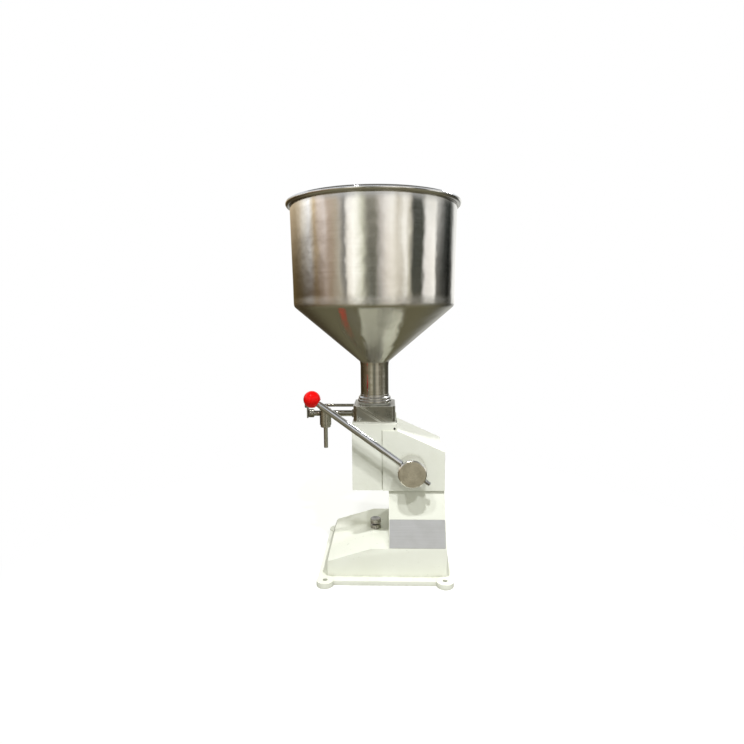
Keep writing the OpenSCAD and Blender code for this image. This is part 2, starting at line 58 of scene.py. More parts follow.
# ---------------------------------------------------------------- node helper
class G:
    """Small writer for one material's nodes."""

    def __init__(self, name):
        self.mat = bpy.data.materials.new(name)
        self.mat.use_nodes = True
        self.t = self.mat.node_tree
        self.t.nodes.clear()
        self.out = self.t.nodes.new("ShaderNodeOutputMaterial")
        self.p = self.t.nodes.new("ShaderNodeBsdfPrincipled")
        self.link(self.p.outputs[0], self.out.inputs[0])
        self._obj = None

    def link(self, a, b):
        self.t.links.new(a, b)

    def put(self, v, sock):
        if isinstance(v, bpy.types.NodeSocket):
            self.link(v, sock)
        elif v is not None:
            sock.default_value = v

    def set(self, **kw):
        names = {"color": "Base Color", "rough": "Roughness", "metal": "Metallic", "normal": "Normal",
                 "aniso": "Anisotropic", "aniso_rot": "Anisotropic Rotation", "tangent": "Tangent",
                 "coat": "Coat Weight", "coat_rough": "Coat Roughness", "ior": "IOR", "spec": "Specular IOR Level",
                 "sss": "Subsurface Weight"}
        for k, v in kw.items():
            self.put(v, self.p.inputs[names[k]])
        return self

    @property
    def obj(self):
        if self._obj is None:
            self._obj = self.t.nodes.new("ShaderNodeTexCoord").outputs["Object"]
        return self._obj

    def mapping(self, v, scale=(1, 1, 1), loc=(0, 0, 0), rot=(0, 0, 0)):
        n = self.t.nodes.new("ShaderNodeMapping")
        self.put(v, n.inputs["Vector"])
        n.inputs["Scale"].default_value = scale
        n.inputs["Location"].default_value = loc
        n.inputs["Rotation"].default_value = rot
        return n.outputs[0]

    def noise(self, v, scale, detail=2.0, rough=0.5, dist=0.0):
        n = self.t.nodes.new("ShaderNodeTexNoise")
        self.put(v, n.inputs["Vector"])
        n.inputs["Scale"].default_value = scale
        n.inputs["Detail"].default_value = detail
        n.inputs["Roughness"].default_value = rough
        n.inputs["Distortion"].default_value = dist
        return n.outputs[0]

    def voronoi(self, v, scale, feature="F1", rand=1.0):
        n = self.t.nodes.new("ShaderNodeTexVoronoi")
        n.feature = feature
        self.put(v, n.inputs["Vector"])
        n.inputs["Scale"].default_value = scale
        n.inputs["Randomness"].default_value = rand
        return n.outputs[0]

    def ramp(self, f, *stops, mode="LINEAR"):
        n = self.t.nodes.new("ShaderNodeValToRGB")
        self.put(f, n.inputs[0])
        r = n.color_ramp
        r.interpolation = mode
        while len(r.elements) < len(stops):
            r.elements.new(0.5)
        for e, (pos, c) in zip(r.elements, stops):
            e.position = pos
            e.color = (*c, 1) if isinstance(c, (tuple, list)) else (c, c, c, 1)
        return n.outputs[0]

    def math(self, op, a, b=None, c=None, clamp=False):
        n = self.t.nodes.new("ShaderNodeMath")
        n.operation = op
        n.use_clamp = clamp
        for i, v in enumerate((a, b, c)):
            if v is not None:
                self.put(v, n.inputs[i])
        return n.outputs[0]

    def mix(self, f, a, b, blend="MIX"):
        n = self.t.nodes.new("ShaderNodeMix")
        n.data_type = "RGBA"
        n.blend_type = blend
        self.put(f, n.inputs[0])
        self.put((*a, 1) if isinstance(a, (tuple, list)) else a, n.inputs[6])
        self.put((*b, 1) if isinstance(b, (tuple, list)) else b, n.inputs[7])
        return n.outputs[2]

    def sep(self, v):
        n = self.t.nodes.new("ShaderNodeSeparateXYZ")
        self.put(v, n.inputs[0])
        return n.outputs

    def comb(self, x=0.0, y=0.0, z=0.0):
        n = self.t.nodes.new("ShaderNodeCombineXYZ")
        for i, v in enumerate((x, y, z)):
            self.put(v, n.inputs[i])
        return n.outputs[0]

    def vmath(self, op, a, b=None):
        n = self.t.nodes.new("ShaderNodeVectorMath")
        n.operation = op
        self.put(a, n.inputs[0])
        if b is not None:
            self.put(b, n.inputs[1])
        return n.outputs["Value"] if op in ("LENGTH", "DOT_PRODUCT", "DISTANCE") else n.outputs[0]

    def bump(self, h, strength=0.3, dist=0.0005, normal=None):
        n = self.t.nodes.new("ShaderNodeBump")
        n.inputs["Strength"].default_value = strength
        n.inputs["Distance"].default_value = dist
        self.put(h, n.inputs["Height"])
        if normal is not None:
            self.put(normal, n.inputs["Normal"])
        return n.outputs[0]

    def tangent(self, axis):
        n = self.t.nodes.new("ShaderNodeTangent")
        n.direction_type = "RADIAL"
        n.axis = axis
        return n.outputs[0]

    def normal(self):
        return self.t.nodes.new("ShaderNodeNewGeometry").outputs["Normal"]

    def ao(self, dist):
        n = self.t.nodes.new("ShaderNodeAmbientOcclusion")
        n.inputs["Distance"].default_value = dist
        n.samples = 8
        return n.outputs["AO"]

    def around(self, centre, axis="Z", k_round=3.0, k_along=1.0):
        """Coordinates that run round an axis: one turn is short, the axis and the radius are long."""
        v = self.vmath("SUBTRACT", self.obj, tuple(centre))
        x, y, z = self.sep(v)
        if axis == "X":
            x, y, z = y, z, x
        elif axis == "Y":
            x, y, z = z, x, y
        r = self.math("SQRT", self.math("ADD", self.math("MULTIPLY", x, x), self.math("MULTIPLY", y, y)))
        rs = self.math("MAXIMUM", r, 0.0002)
        cx = self.math("MULTIPLY", self.math("DIVIDE", x, rs), k_round)
        cy = self.math("MULTIPLY", self.math("DIVIDE", y, rs), k_round)
        # the radius is folded into the along coordinate so that flat faces show rings
        along = self.math("MULTIPLY", self.math("ADD", z, self.math("MULTIPLY", r, 1.37)), k_along)
        return self.comb(cx, cy, along), r, z


# ---------------------------------------------------------------- materials
def m_paint():
    g = G("enamel_offwhite")
    big = g.noise(g.obj, 9.0, 3, 0.5)
    mott = g.noise(g.obj, 60.0, 4, 0.6)
    col = g.ramp(big, (0.3, (0.785, 0.795, 0.70)), (0.7, (0.84, 0.847, 0.77)))
    col = g.mix(g.math("MULTIPLY", g.math("SUBTRACT", mott, 0.45, clamp=True), 0.5), col, (0.715, 0.72, 0.61))
    # painted shade where faces meet: an occlusion mask darkens the colour in creases and seams, broken up by noise like
    # dust
    crease = g.ramp(g.ao(0.010), (0.35, 1.0), (0.80, 0.0))
    dust_and_shade = g.math("MULTIPLY", crease, g.ramp(g.noise(g.obj, 130, 4, 0.7), (0.35, 0.15), (0.7, 0.75)))
    col = g.mix(dust_and_shade, col, (0.40, 0.40, 0.31))
    # a few specks in the enamel
    sp = g.voronoi(g.obj, 95.0)
    speck = g.math("MULTIPLY", g.math("LESS_THAN", sp, 0.055), g.math("GREATER_THAN", g.noise(g.obj, 14.0, 2), 0.56))
    col = g.mix(g.math("MULTIPLY", speck, 0.55), col, (0.36, 0.34, 0.27))
    peel = g.noise(g.obj, 420.0, 2, 0.45)
    cast = g.noise(g.obj, 38.0, 3, 0.5)
    h = g.math("ADD", g.math("MULTIPLY", peel, 0.22), cast)
    nrm = g.bump(h, 0.32, 0.0011)
    rough = g.ramp(g.noise(g.obj, 75.0, 3, 0.6), (0.3, 0.27), (0.7, 0.40))
    g.set(color=col, rough=rough, normal=nrm, coat=0.12, coat_rough=0.14, ior=1.5, spec=0.35)
    return g.mat


def m_sheet(axis_c, seam_z):
    """Spun and polished stainless sheet, brushed round the axis."""
    g = G("stainless_brushed_sheet")
    v, r, z = g.around(axis_c, "Z", 1.6, 1.0)
    lines = g.noise(g.mapping(v, (1, 1, 900)), 1.0, 3, 0.65)
    fine = g.noise(g.mapping(v, (4, 4, 3600), (3, 1, 2)), 1.0, 2, 0.6)
    cloud = g.noise(g.mapping(v, (1.2, 1.2, 9.0)), 1.0, 4, 0.55)
    col = g.ramp(lines, (0.25, (0.64, 0.63, 0.61)), (0.75, (0.72, 0.715, 0.70)))
    col = g.mix(g.ramp(cloud, (0.42, 0.0), (0.75, 0.5)), col, (0.58, 0.55, 0.49))
    rough = g.math("ADD", g.ramp(cloud, (0.3, 0.105), (0.75, 0.150)), g.math("MULTIPLY", g.math("SUBTRACT", lines, 0.5), 0.06))
    h = g.math("ADD", lines, g.math("MULTIPLY", fine, 0.6))
    # the cone is duller and darker than the wall
    cone = g.ramp(g.math("DIVIDE", g.math("SUBTRACT", g.math("ADD", z, 0.02), seam_z), 0.04), (0.40, 1.0), (0.52, 0.0))
    col = g.mix(g.math("MULTIPLY", cone, 0.8), col, (0.50, 0.485, 0.42))
    rough = g.math("ADD", rough, g.math("MULTIPLY", cone, 0.05))
    # band of the ground and polished seam weld, slightly browned by heat
    d = g.math("ABSOLUTE", g.math("SUBTRACT", z, seam_z + 0.007))
    band = g.ramp(g.math("DIVIDE", d, 0.02), (0.2, 1.0), (0.6, 0.0))
    blot = g.noise(g.mapping(v, (9, 9, 160)), 1.0, 4, 0.7)
    col = g.mix(g.math("MULTIPLY", band, g.ramp(blot, (0.4, 0.1), (0.65, 0.75))), col, (0.80, 0.78, 0.74))
    rough = g.math("ADD", rough, g.math("MULTIPLY", band, 0.10))
    nrm = g.bump(h, 0.07, 0.00012)
    # hand-spun sheet is slightly wavy, so upright reflections wander
    wave = g.math("ADD", g.noise(g.mapping(v, (1.9, 1.9, 17)), 1.0, 1, 0.4), g.math("MULTIPLY", g.noise(g.mapping(v, (5, 5, 52), (4, 2, 7)), 1.0, 1, 0.4), 0.28))
    nrm = g.bump(wave, 0.55, 0.0016, nrm)
    g.set(color=col, metal=1.0, rough=rough, normal=nrm, aniso=1.0, aniso_rot=0.25, tangent=g.tangent("Z"))
    return g.mat


def m_turned(name, centre, axis, base=(0.60, 0.59, 0.57), rough=0.24, lines=1500.0, aniso=0.55, bump=0.12, tint=(0.44, 0.41, 0.36)):
    """Lathe-turned steel: fine rings round its own axis."""
    g = G(name)
    v, r, z = g.around(centre, axis, 0.8, 1.0)
    ring = g.noise(g.mapping(v, (1, 1, lines)), 1.0, 3, 0.6)
    broad = g.noise(g.mapping(v, (1, 1, lines * 0.13), (2, 5, 1)), 1.0, 2, 0.5)
    stain = g.noise(g.obj, 90.0, 4, 0.6)
    c0 = tuple(0.86 * c for c in base)
    col = g.ramp(ring, (0.3, c0), (0.7, base))
    col = g.mix(g.ramp(stain, (0.45, 0.0), (0.8, 0.6)), col, tint)
    ro = g.math("ADD", g.math("MULTIPLY", g.math("SUBTRACT", ring, 0.5), 0.16), g.ramp(broad, (0.3, rough - 0.05), (0.7, rough + 0.07)))
    h = g.math("ADD", ring, g.math("MULTIPLY", broad, 0.8))
    g.set(color=col, metal=1.0, rough=ro, normal=g.bump(h, bump, 0.0003), aniso=aniso, aniso_rot=0.25, tangent=g.tangent(axis))
    return g.mat


def m_ground(name="steel_ground", base=(0.50, 0.485, 0.44), rough=0.27, scores_and_sheen=None):
    """Milled and ground steel block: straight fine lines with faint cutter passes, and slanting scores from handling.
    Where a point is given it also gets painted reflection, lighter on one side, and painted highlights along its edges.
    """
    g = G(name)
    x, y, z = g.sep(g.obj)
    v = g.comb(g.math("ADD", x, y), 0.0, z)
    line = g.noise(g.mapping(v, (14, 1, 2400)), 1.0, 3, 0.6)
    pas = g.noise(g.mapping(v, (4, 1, 260), (1, 0, 3)), 1.0, 2, 0.5)
    stain = g.noise(g.obj, 55.0, 5, 0.6)
    dark = tuple(0.78 * c for c in base)
    col = g.ramp(line, (0.3, dark), (0.7, base))
    col = g.mix(g.ramp(stain, (0.46, 0.0), (0.78, 0.65)), col, (0.31, 0.275, 0.21))
    ro = g.math("ADD", g.math("MULTIPLY", g.math("SUBTRACT", line, 0.5), 0.2), g.ramp(stain, (0.3, rough - 0.04), (0.75, rough + 0.12)))
    h = g.math("ADD", line, g.math("MULTIPLY", pas, 0.7))
    # slanting scores, then painted reflection on one side and painted highlights on the edges
    if scores_and_sheen:
        sx, sz = scores_and_sheen
        # painted reflection: the block's colour is lighter on its low-x side and darker towards high x
        side = g.ramp(g.math("ADD", g.math("MULTIPLY", g.math("SUBTRACT", x, sx), 12.0), 0.30), (0.0, 1.0), (0.9, 0.0))
        col = g.mix(g.math("MULTIPLY", side, 0.32), col, (0.52, 0.51, 0.46))
        across = g.math("ADD", g.math("MULTIPLY", g.math("SUBTRACT", x, sx), 0.56), g.math("MULTIPLY", g.math("SUBTRACT", z, sz), 0.83))
        run = g.math("SUBTRACT", g.math("MULTIPLY", g.math("SUBTRACT", x, sx), 0.83), g.math("MULTIPLY", g.math("SUBTRACT", z, sz), 0.56))
        wob = g.noise(g.comb(g.math("MULTIPLY", across, 620.0), g.math("MULTIPLY", run, 18.0), 0.0), 1.0, 2, 0.55)
        near = g.ramp(g.math("DIVIDE", g.math("ABSOLUTE", across), 0.010), (0.35, 1.0), (0.75, 0.0))
        score = g.math("MULTIPLY", near, g.ramp(wob, (0.50, 0.0), (0.62, 1.0)))
        col = g.mix(g.math("MULTIPLY", score, 0.75), col, (0.95, 0.95, 0.92))
        h = g.math("SUBTRACT", h, g.math("MULTIPLY", score, 0.8))
        # painted highlight: near-white lines along the chamfered upright corners and the top and bottom edges, broken
        # up by noise
        lo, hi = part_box("valve_block")
        ch = 0.0052
        dist = []
        for v, a, b in ((x, lo.x, hi.x), (y, lo.y, hi.y), (z, lo.z, hi.z)):
            dist.append(g.math("MINIMUM", g.math("ABSOLUTE", g.math("SUBTRACT", v, a)), g.math("ABSOLUTE", g.math("SUBTRACT", v, b))))
        dx, dy, dz = dist
        corner = g.math("MULTIPLY", g.math("LESS_THAN", g.math("ABSOLUTE", g.math("SUBTRACT", g.math("MAXIMUM", dx, dy), ch)), 0.0009), g.math("LESS_THAN", g.math("MINIMUM", dx, dy), 0.0012))
        rim = g.math("LESS_THAN", g.math("MAXIMUM", g.math("MINIMUM", dx, dy), dz), 0.0009)
        edge_highlight = g.math("MAXIMUM", corner, rim)
        edge_highlight = g.math("MULTIPLY", edge_highlight, g.ramp(g.noise(g.obj, 160.0, 3, 0.6), (0.25, 0.35), (0.5, 1.0)))
        col = g.mix(g.math("MULTIPLY", edge_highlight, 0.9), col, (1.0, 1.0, 0.97))
    g.set(color=col, metal=1.0, rough=ro, normal=g.bump(h, 0.13, 0.0003))
    return g.mat


def m_hub(centre):
    """Hub: polished side, lathe-faced end that has gone dull and slightly brown."""
    g = G("hub_steel")
    v, r, z = g.around(centre, "Y", 0.7, 1.0)
    ring = g.noise(g.mapping(v, (1, 1, 1700)), 1.0, 3, 0.65)
    wide = g.noise(g.mapping(v, (1, 1, 210)), 1.0, 2, 0.5)
    stain = g.noise(g.obj, 70.0, 5, 0.62)
    ny = g.sep(g.normal())[1]
    face = g.ramp(g.math("ABSOLUTE", ny), (0.55, 0.0), (0.85, 1.0))
    fcol = g.ramp(ring, (0.3, (0.68, 0.63, 0.52)), (0.7, (0.88, 0.83, 0.71)))
    fcol = g.mix(g.ramp(stain, (0.42, 0.0), (0.75, 0.7)), fcol, (0.46, 0.42, 0.33))
    scol = g.ramp(stain, (0.3, (0.80, 0.80, 0.79)), (0.8, (0.68, 0.66, 0.62)))
    col = g.mix(face, scol, fcol)
    fr = g.ramp(wide, (0.3, 0.36), (0.7, 0.48))
    ro = g.math("ADD", g.math("MULTIPLY", face, fr), g.math("MULTIPLY", g.math("SUBTRACT", 1.0, face), g.ramp(stain, (0.3, 0.10), (0.8, 0.2))))
    h = g.math("MULTIPLY", g.math("ADD", ring, wide), g.math("ADD", 0.25, g.math("MULTIPLY", face, 0.75)))
    g.set(color=col, metal=1.0, rough=ro, normal=g.bump(h, 0.16, 0.0003))
    return g.mat


def m_chrome(name="chrome_rod"):
    g = G(name)
    smear = g.noise(g.mapping(g.obj, (1, 1, 1), (0, 0, 0), (0, math.radians(37), 0)), 60.0, 4, 0.6)
    pit = g.voronoi(g.obj, 520.0)
    pits = g.math("MULTIPLY", g.math("LESS_THAN", pit, 0.06), g.math("GREATER_THAN", g.noise(g.obj, 40.0, 2), 0.58))
    col = g.ramp(smear, (0.3, (0.61, 0.61, 0.615)), (0.8, (0.50, 0.495, 0.475)))
    col = g.mix(g.math("MULTIPLY", pits, 0.6), col, (0.28, 0.22, 0.16))
    ro = g.ramp(smear, (0.3, 0.045), (0.8, 0.11))
    g.set(color=col, metal=1.0, rough=ro, normal=g.bump(smear, 0.05, 0.0006))
    return g.mat


def m_red():
    g = G("knob_red")
    cl = g.noise(g.obj, 60.0, 4, 0.6)
    scr = g.noise(g.mapping(g.obj, (30, 260, 900), (0, 0, 0), (0.4, 0.7, 0.2)), 1.0, 3, 0.7)
    col = g.ramp(cl, (0.3, (0.82, 0.004, 0.004)), (0.75, (0.68, 0.003, 0.003)))
    ro = g.math("ADD", g.ramp(cl, (0.3, 0.16), (0.8, 0.26)), g.math("MULTIPLY", g.ramp(scr, (0.62, 0.0), (0.72, 1.0)), 0.10))
    h = g.math("ADD", g.math("MULTIPLY", cl, 0.6), g.math("MULTIPLY", scr, 0.15))
    g.set(color=col, rough=ro, normal=g.bump(h, 0.07, 0.0006), coat=0.06, coat_rough=0.05, ior=1.5, spec=0.16)
    return g.mat


def m_plate():
    g = G("plate_grey")
    v = g.mapping(g.obj, (12, 900, 900))
    line = g.noise(v, 1.0, 3, 0.6)
    cl = g.noise(g.obj, 45.0, 4, 0.55)
    col = g.ramp(line, (0.3, (0.45, 0.447, 0.445)), (0.7, (0.50, 0.497, 0.495)))
    col = g.mix(g.ramp(cl, (0.45, 0.0), (0.8, 0.5)), col, (0.41, 0.405, 0.395))
    ro = g.ramp(cl, (0.3, 0.42), (0.75, 0.55))
    g.set(color=col, metal=0.35, rough=ro, normal=g.bump(line, 0.10, 0.0002))
    return g.mat


def m_black():
    g = G("black_oxide")
    n = g.noise(g.obj, 300.0, 4, 0.6)
    col = g.ramp(n, (0.3, (0.018, 0.018, 0.019)), (0.75, (0.06, 0.057, 0.052)))
    g.set(color=col, metal=0.7, rough=g.ramp(n, (0.3, 0.32), (0.75, 0.5)), normal=g.bump(n, 0.1, 0.0002))
    return g.mat


def m_bronze():
    g = G("bronze_bush")
    n = g.noise(g.obj, 160.0, 4, 0.6)
    col = g.ramp(n, (0.3, (0.56, 0.34, 0.13)), (0.75, (0.40, 0.23, 0.085)))
    g.set(color=col, metal=1.0, rough=g.ramp(n, (0.3, 0.25), (0.75, 0.42)), normal=g.bump(n, 0.1, 0.0003))
    return g.mat


def m_gear():
    g = G("gear_steel_oiled")
    n = g.noise(g.obj, 120.0, 4, 0.6)
    ln = g.noise(g.mapping(g.obj, (700, 30, 700)), 1.0, 2, 0.6)
    col = g.ramp(n, (0.3, (0.27, 0.26, 0.24)), (0.75, (0.15, 0.135, 0.11)))
    col = g.mix(g.ramp(ln, (0.4, 0.0), (0.7, 0.4)), col, (0.36, 0.35, 0.33))
    g.set(color=col, metal=0.95, rough=g.ramp(n, (0.3, 0.22), (0.75, 0.40)), normal=g.bump(ln, 0.12, 0.0003))
    return g.mat


def m_rubber():
    g = G("rubber_black")
    n = g.noise(g.obj, 600.0, 3, 0.6)
    g.set(color=g.ramp(n, (0.3, (0.012, 0.012, 0.012)), (0.75, (0.028, 0.027, 0.026))), rough=g.ramp(n, (0.3, 0.5), (0.75, 0.68)),
          normal=g.bump(n, 0.15, 0.0002))
    return g.mat


def m_ptfe():
    g = G("ptfe_white")
    n = g.noise(g.obj, 260.0, 3, 0.6)
    g.set(color=g.ramp(n, (0.3, (0.80, 0.79, 0.75)), (0.75, (0.68, 0.66, 0.60))), rough=g.ramp(n, (0.3, 0.42), (0.75, 0.58)),
          normal=g.bump(n, 0.1, 0.0002), sss=0.05)
    return g.mat


SEAM_Z = 0.4972
axis_c = (HX, 0.0, 0.0)
hub_c = mid("lever_hub")
block_c = mid("valve_block")
M = {
    "paint": m_paint(),
    "sheet": m_sheet(axis_c, SEAM_Z),
    "neck": m_turned("stainless_neck", axis_c, "Z", (0.54, 0.525, 0.475), 0.13, 1300.0, 0.9, 0.04),
    "turned_z": m_turned("steel_turned_upright", axis_c, "Z"),
    "nozzle": m_turned("steel_turned_nozzle", tuple(mid("nozzle_tube")), "Z", (0.46, 0.45, 0.39), 0.22, 1500.0, 0.55, 0.04),
    "turned_x": m_turned("steel_turned_level", tuple(mid("outlet_pipe")), "X", (0.33, 0.315, 0.26), 0.20, 1500.0, 0.3, 0.02, (0.27, 0.24, 0.18)),
    "turned_y": m_turned("steel_turned_cross", tuple(mid("lever_shaft")), "Y"),
    "knurl": m_turned("steel_knob", axis_c, "Z", (0.40, 0.385, 0.35), 0.33, 900.0, 0.3),
    "ground": m_ground(base=(0.40, 0.395, 0.36)),
    "block": m_ground("block_ground", (0.33, 0.328, 0.295), 0.27, (block_c.x - 0.012, block_c.z + 0.004)),
    "hub": m_hub(tuple(hub_c)),
    "chrome": m_chrome(),
    "red": m_red(),
    "plate": m_plate(),
    "black": m_black(),
    "bronze": m_bronze(),
    "gear": m_gear(),
    "rubber": m_rubber(),
    "ptfe": m_ptfe(),
}

LOOK = {
    "frame_casting": ("paint", 3.2, 4), "head_casting": ("paint", 2.2, 4), "rear_hood": ("paint", 1.1, 3),
    "hood_screws": ("turned_x", 0.25, 2), "head_bolts": ("black", 0.3, 2), "head_grub_screw": ("black", 0.15, 2),
    "valve_block": ("block", 1.0, 3), "block_screws": ("black", 0.3, 2), "cylinder_barrel": ("turned_z", 0.3, 2),
    "barrel_oring": ("rubber", 0, 0), "hopper_neck": ("neck", 0.2, 2), "neck_collar": ("turned_z", 0.4, 3),
    "hopper_gasket": ("ptfe", 0.25, 2), "hopper_nipple": ("turned_z", 0.3, 2), "inlet_seat": ("turned_z", 0.3, 2),
    "inlet_poppet": ("turned_z", 0.3, 2), "inlet_spring": ("turned_z", 0, 0), "inlet_nut": ("turned_z", 0.3, 2),
    "outlet_pipe": ("turned_x", 0.3, 2), "tee_body": ("nozzle", 0.5, 3), "tee_nut": ("nozzle", 0.3, 2),
    "nozzle_tube": ("nozzle", 0.25, 2), "outlet_ball": ("chrome", 0, 0), "outlet_spring": ("turned_x", 0, 0),
    "clamp_rod": ("turned_x", 0.4, 2), "clamp_plate": ("ground", 0.4, 2), "clamp_nut": ("turned_x", 0.35, 2),
    "lever_shaft": ("turned_y", 0.4, 2), "shaft_key": ("gear", 0.3, 2), "drive_gear": ("gear", 0.25, 2),
    "near_bush": ("bronze", 0.3, 2), "far_bush": ("bronze", 0.3, 2), "thrust_washer": ("bronze", 0.3, 2),
    "lever_hub": ("hub", 0.5, 3), "hub_grub_screw": ("black", 0.2, 2), "end_washer": ("turned_y", 0.35, 2),
    "end_bolt": ("turned_y", 0.5, 2), "piston_head": ("turned_z", 0.3, 2), "piston_seals": ("ptfe", 0.2, 2),
    "piston_screw": ("turned_z", 0.3, 2), "piston_rod": ("chrome", 0.4, 2), "crosshead": ("gear", 0.5, 2),
    "crosshead_pin": ("turned_y", 0.3, 2), "gear_rack": ("gear", 0.2, 2), "rack_screws": ("black", 0.25, 2),
    "rack_guide": ("bronze", 0.4, 2), "rod_guide": ("bronze", 0.4, 2), "name_plate": ("plate", 0.3, 2),
}


def dress(node, mat, bevel_mm, segs):
    o = N[node]
    for s in o.material_slots:
        s.material = M[mat]
    if not o.material_slots:
        o.data.materials.append(M[mat])
    if bevel_mm:
        w = o.modifiers.new("weld", "WELD")
        w.merge_threshold = 0.000002
        d = o.modifiers.new("flat", "DECIMATE")
        d.decimate_type = "DISSOLVE"
        d.angle_limit = math.radians(0.4)
        b = o.modifiers.new("edge", "BEVEL")
        b.width = bevel_mm / 1000
        b.segments = segs
        b.limit_method = "ANGLE"
        b.angle_limit = math.radians(24)
        b.use_clamp_overlap = True
        b.harden_normals = False
        n = o.modifiers.new("shade", "WEIGHTED_NORMAL")
        n.mode = "FACE_AREA"
        n.keep_sharp = False


for name, (mat, bev, seg) in LOOK.items():
    dress(name, mat, bev, seg)


# ---------------------------------------------------------------- mesh pieces
def make(name, bm, mat, body, replaces=(), smooth=35.0):
    me = bpy.data.meshes.new(name)
    bmesh.ops.recalc_face_normals(bm, faces=bm.faces[:])
    bm.to_mesh(me)
    bm.free()
    o = bpy.data.objects.new(name, me)
    bpy.context.scene.collection.objects.link(o)
    me.materials.append(M[mat])
    me.polygons.foreach_set("use_smooth", [True] * len(me.polygons))
    me.set_sharp_from_angle(angle=math.radians(smooth))
    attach(o, body)
    if replaces:
        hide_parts(*replaces)
    return o


def frame_for(axis, centre):
    """Matrix that takes local +Z to the axis, at the centre."""
    z = Vector(axis).normalized()
    return Matrix.Translation(Vector(centre)) @ z.to_track_quat("Z", "Y").to_matrix().to_4x4()


def revolve(profile, segs, mat4=None, radius_fn=None):
    """Closed profile [(r, z)] turned about local Z. radius_fn(r, z, angle) may move a point's radius."""
    bm = bmesh.new()
    rings = []
    for i in range(segs):
        a = 2 * math.pi * i / segs
        ring = []
        for (r, z) in profile:
            if r < 1e-7:
                ring.append(None)
                continue
            rr = radius_fn(r, z, a) if radius_fn else r
            ring.append(bm.verts.new((rr * math.cos(a), rr * math.sin(a), z)))
        rings.append(ring)
    poles = {k: bm.verts.new((0, 0, z)) for k, (r, z) in enumerate(profile) if r < 1e-7}
    n = len(profile)
    for i in range(segs):
        A, B = rings[i], rings[(i + 1) % segs]
        for k in range(n):
            k2 = (k + 1) % n
            p = [poles[k] if A[k] is None else A[k], poles[k2] if A[k2] is None else A[k2],
                 poles[k2] if B[k2] is None else B[k2], poles[k] if B[k] is None else B[k]]
            q = []
            for v in p:
                if v not in q:
                    q.append(v)
            if len(q) >= 3:
                bm.faces.new(q)
    if mat4 is not None:
        bmesh.ops.transform(bm, matrix=mat4, verts=bm.verts[:])
    return bm


def arc(cx, cz, r, a0, a1, n):
    return [(cx + r * math.cos(math.radians(a0 + (a1 - a0) * i / n)), cz + r * math.sin(math.radians(a0 + (a1 - a0) * i / n)))
            for i in range(n + 1)]


# hopper: one spun shell with a rolled rim and a rounded seam; its ground weld is only in the material
hb0, hb1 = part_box("hopper_wall")
R_OUT = (hb1.x - hb0.x) / 2
TOP = hb1.z
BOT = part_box("hopper_cone")[0].z
BR = 0.0046                                   # bead radius
rc, zc = R_OUT - BR, TOP - BR                 # bead centre
T = 0.0015
zs = SEAM_Z
RW = rc - 0.0028                              # wall at the rim
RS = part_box("hopper_cone")[1].x - HX          # wall at the seam
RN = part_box("hopper_neck")[1].x - HX          # cone where the neck meets it


def wall(z):
    return RS + (RW - RS) * (z - zs) / (zc - zs)


outer = [(RN, BOT)]
for i in range(1, 15):                        # cone
    f = i / 15
    outer.append((RN + (RS - RN) * f, BOT + (zs - BOT) * f))
outer = [p for p in outer if p[0] < RS - 0.009]
outer += [(RS - 0.0062, zs - 0.0053), (RS - 0.0036, zs - 0.0030), (RS - 0.0016, zs - 0.0009), (RS - 0.0004, zs + 0.0018), (RS, zs + 0.0046)]
for i in range(0, 13):
    z = zs + 0.012 + (zc - 0.0040 - zs - 0.012) * i / 12
    outer.append((wall(z), z))
bead = arc(rc, zc, BR, 230, -200, 40)         # from under the bead, round the outside, over the top, to the inside
bead = [p for p in bead]
inner_top = RW - T
inner = [(inner_top, zc - 0.002)]
for i in range(1, 12):
    z = zc - 0.002 - (zc - 0.002 - zs - 0.006) * i / 12
    inner.append((wall(z) - T, z))
inner += [(RS - T, zs + 0.0056), (RS - T - 0.0006, zs + 0.0026), (RS - T - 0.0024, zs - 0.0004), (RS - T - 0.0060, zs - 0.0036)]
for i in range(1, 15):
    f = i / 15
    inner.append((RS - T - 0.0060 + (RN - 0.0026 - RS + T + 0.0060) * f, zs - 0.0036 + (BOT + 0.0004 - zs + 0.0036) * f))
inner += [(RN - 0.0026, BOT)]
prof = outer + bead + inner


def hand_spun(r, z, a):
    """Sheet is never perfectly round: under half a millimetre of wave, inward only."""
    if z < zs + 0.004:
        return r
    f = min(1.0, (z - zs) / 0.05)
    return r - f * 0.00022 * (1 + math.sin(2 * a + 0.7) * 0.6 + math.sin(5 * a + 2.1) * 0.4)


hop = make("hopper_shell", revolve(prof, 224, Matrix.Translation((HX, 0, 0)), hand_spun), "sheet", "frame", ("hopper_wall", "hopper_cone"), 40)


# knurled pieces: rim with fine teeth
def knurled(name, cx, cy, z0, z1, r, mat, body, replaces, teeth=44, depth=0.0004, extra=None, bore=0.0):
    c = 0.0007
    prof = [(bore, z0), (r - c, z0), (r, z0 + c), (r, z0 + c * 1.6), (r, z1 - c * 1.6), (r, z1 - c), (r - c, z1), (bore, z1)]
    if bore == 0.0:
        prof = [(0.0, z0)] + prof[1:7] + [(r * 0.62, z1), (r * 0.58, z1 - 0.0003), (r * 0.2, z1 - 0.0003), (0.0, z1 - 0.0003)]
    k = teeth * 4

    def fn(rr, z, a):
        if rr > r - 1e-5 and z0 + c * 1.2 < z < z1 - c * 1.2:
            ph = (a / (2 * math.pi) * teeth) % 1.0
            return rr - depth * (1 - abs(2 * ph - 1))
        return rr

    bm = revolve(prof, k, Matrix.Translation((cx, cy, 0)), fn)
    return make(name, bm, mat, body, replaces, 40)


